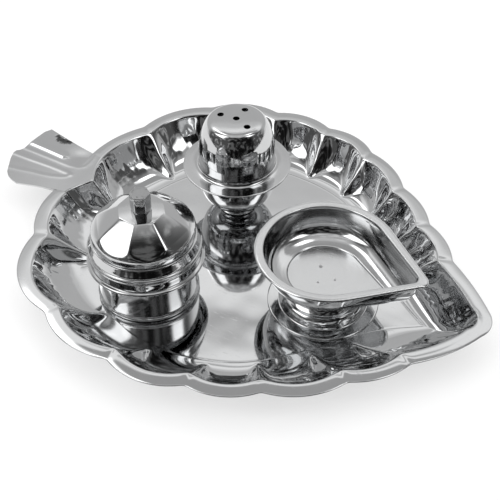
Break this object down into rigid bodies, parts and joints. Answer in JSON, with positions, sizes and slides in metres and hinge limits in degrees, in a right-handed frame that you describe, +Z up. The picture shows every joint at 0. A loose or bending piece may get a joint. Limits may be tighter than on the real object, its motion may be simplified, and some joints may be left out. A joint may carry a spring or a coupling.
{
  "type": "kumkum plate",
  "caption": "Polished steel leaf-shaped puja tray with a scalloped rim and fan stem, carrying a lidded powder box, a perforated shaker and a drop-shaped oil lamp on a foot",
  "frame": {"origin": "under the middle of the tray's length and width, on the table", "axes": "+X along the leaf from its stem to its tip, +Y toward the shaker's side, +Z up"},
  "size_m": [0.247, 0.1886, 0.0566],
  "materials": {
    "tray_steel": "mirror polished",
    "spun_steel": "mirror polished with faint spinning rings",
    "solid_steel": "polished",
    "screw_steel": "plain machined"
  },
  "bodies": {
    "tray": {"leaf_tray": "tray_steel"},
    "box": {"box_body": "spun_steel"},
    "box_lid": {"box_lid": "spun_steel", "box_knob": "solid_steel", "knob_screw": "screw_steel"},
    "shaker": {"shaker_cup": "spun_steel"},
    "shaker_cap": {"shaker_cap": "spun_steel"},
    "lamp": {"lamp_foot": "spun_steel", "lamp_bowl": "spun_steel"}
  },
  "joints": [
    {"name": "box_lift", "type": "slide", "parent": "tray", "child": "box", "axis": [0, 0, 1], "range_m": [0, 0.12]},
    {"name": "lid_lift", "type": "slide", "parent": "box", "child": "box_lid", "axis": [0, 0, 1], "range_m": [0, 0.06]},
    {"name": "shaker_lift", "type": "slide", "parent": "tray", "child": "shaker", "axis": [0, 0, 1], "range_m": [0, 0.12]},
    {"name": "cap_lift", "type": "slide", "parent": "shaker", "child": "shaker_cap", "axis": [0, 0, 1], "range_m": [0, 0.05]},
    {"name": "lamp_lift", "type": "slide", "parent": "tray", "child": "lamp", "axis": [0, 0, 1], "range_m": [0, 0.12]}
  ]
}
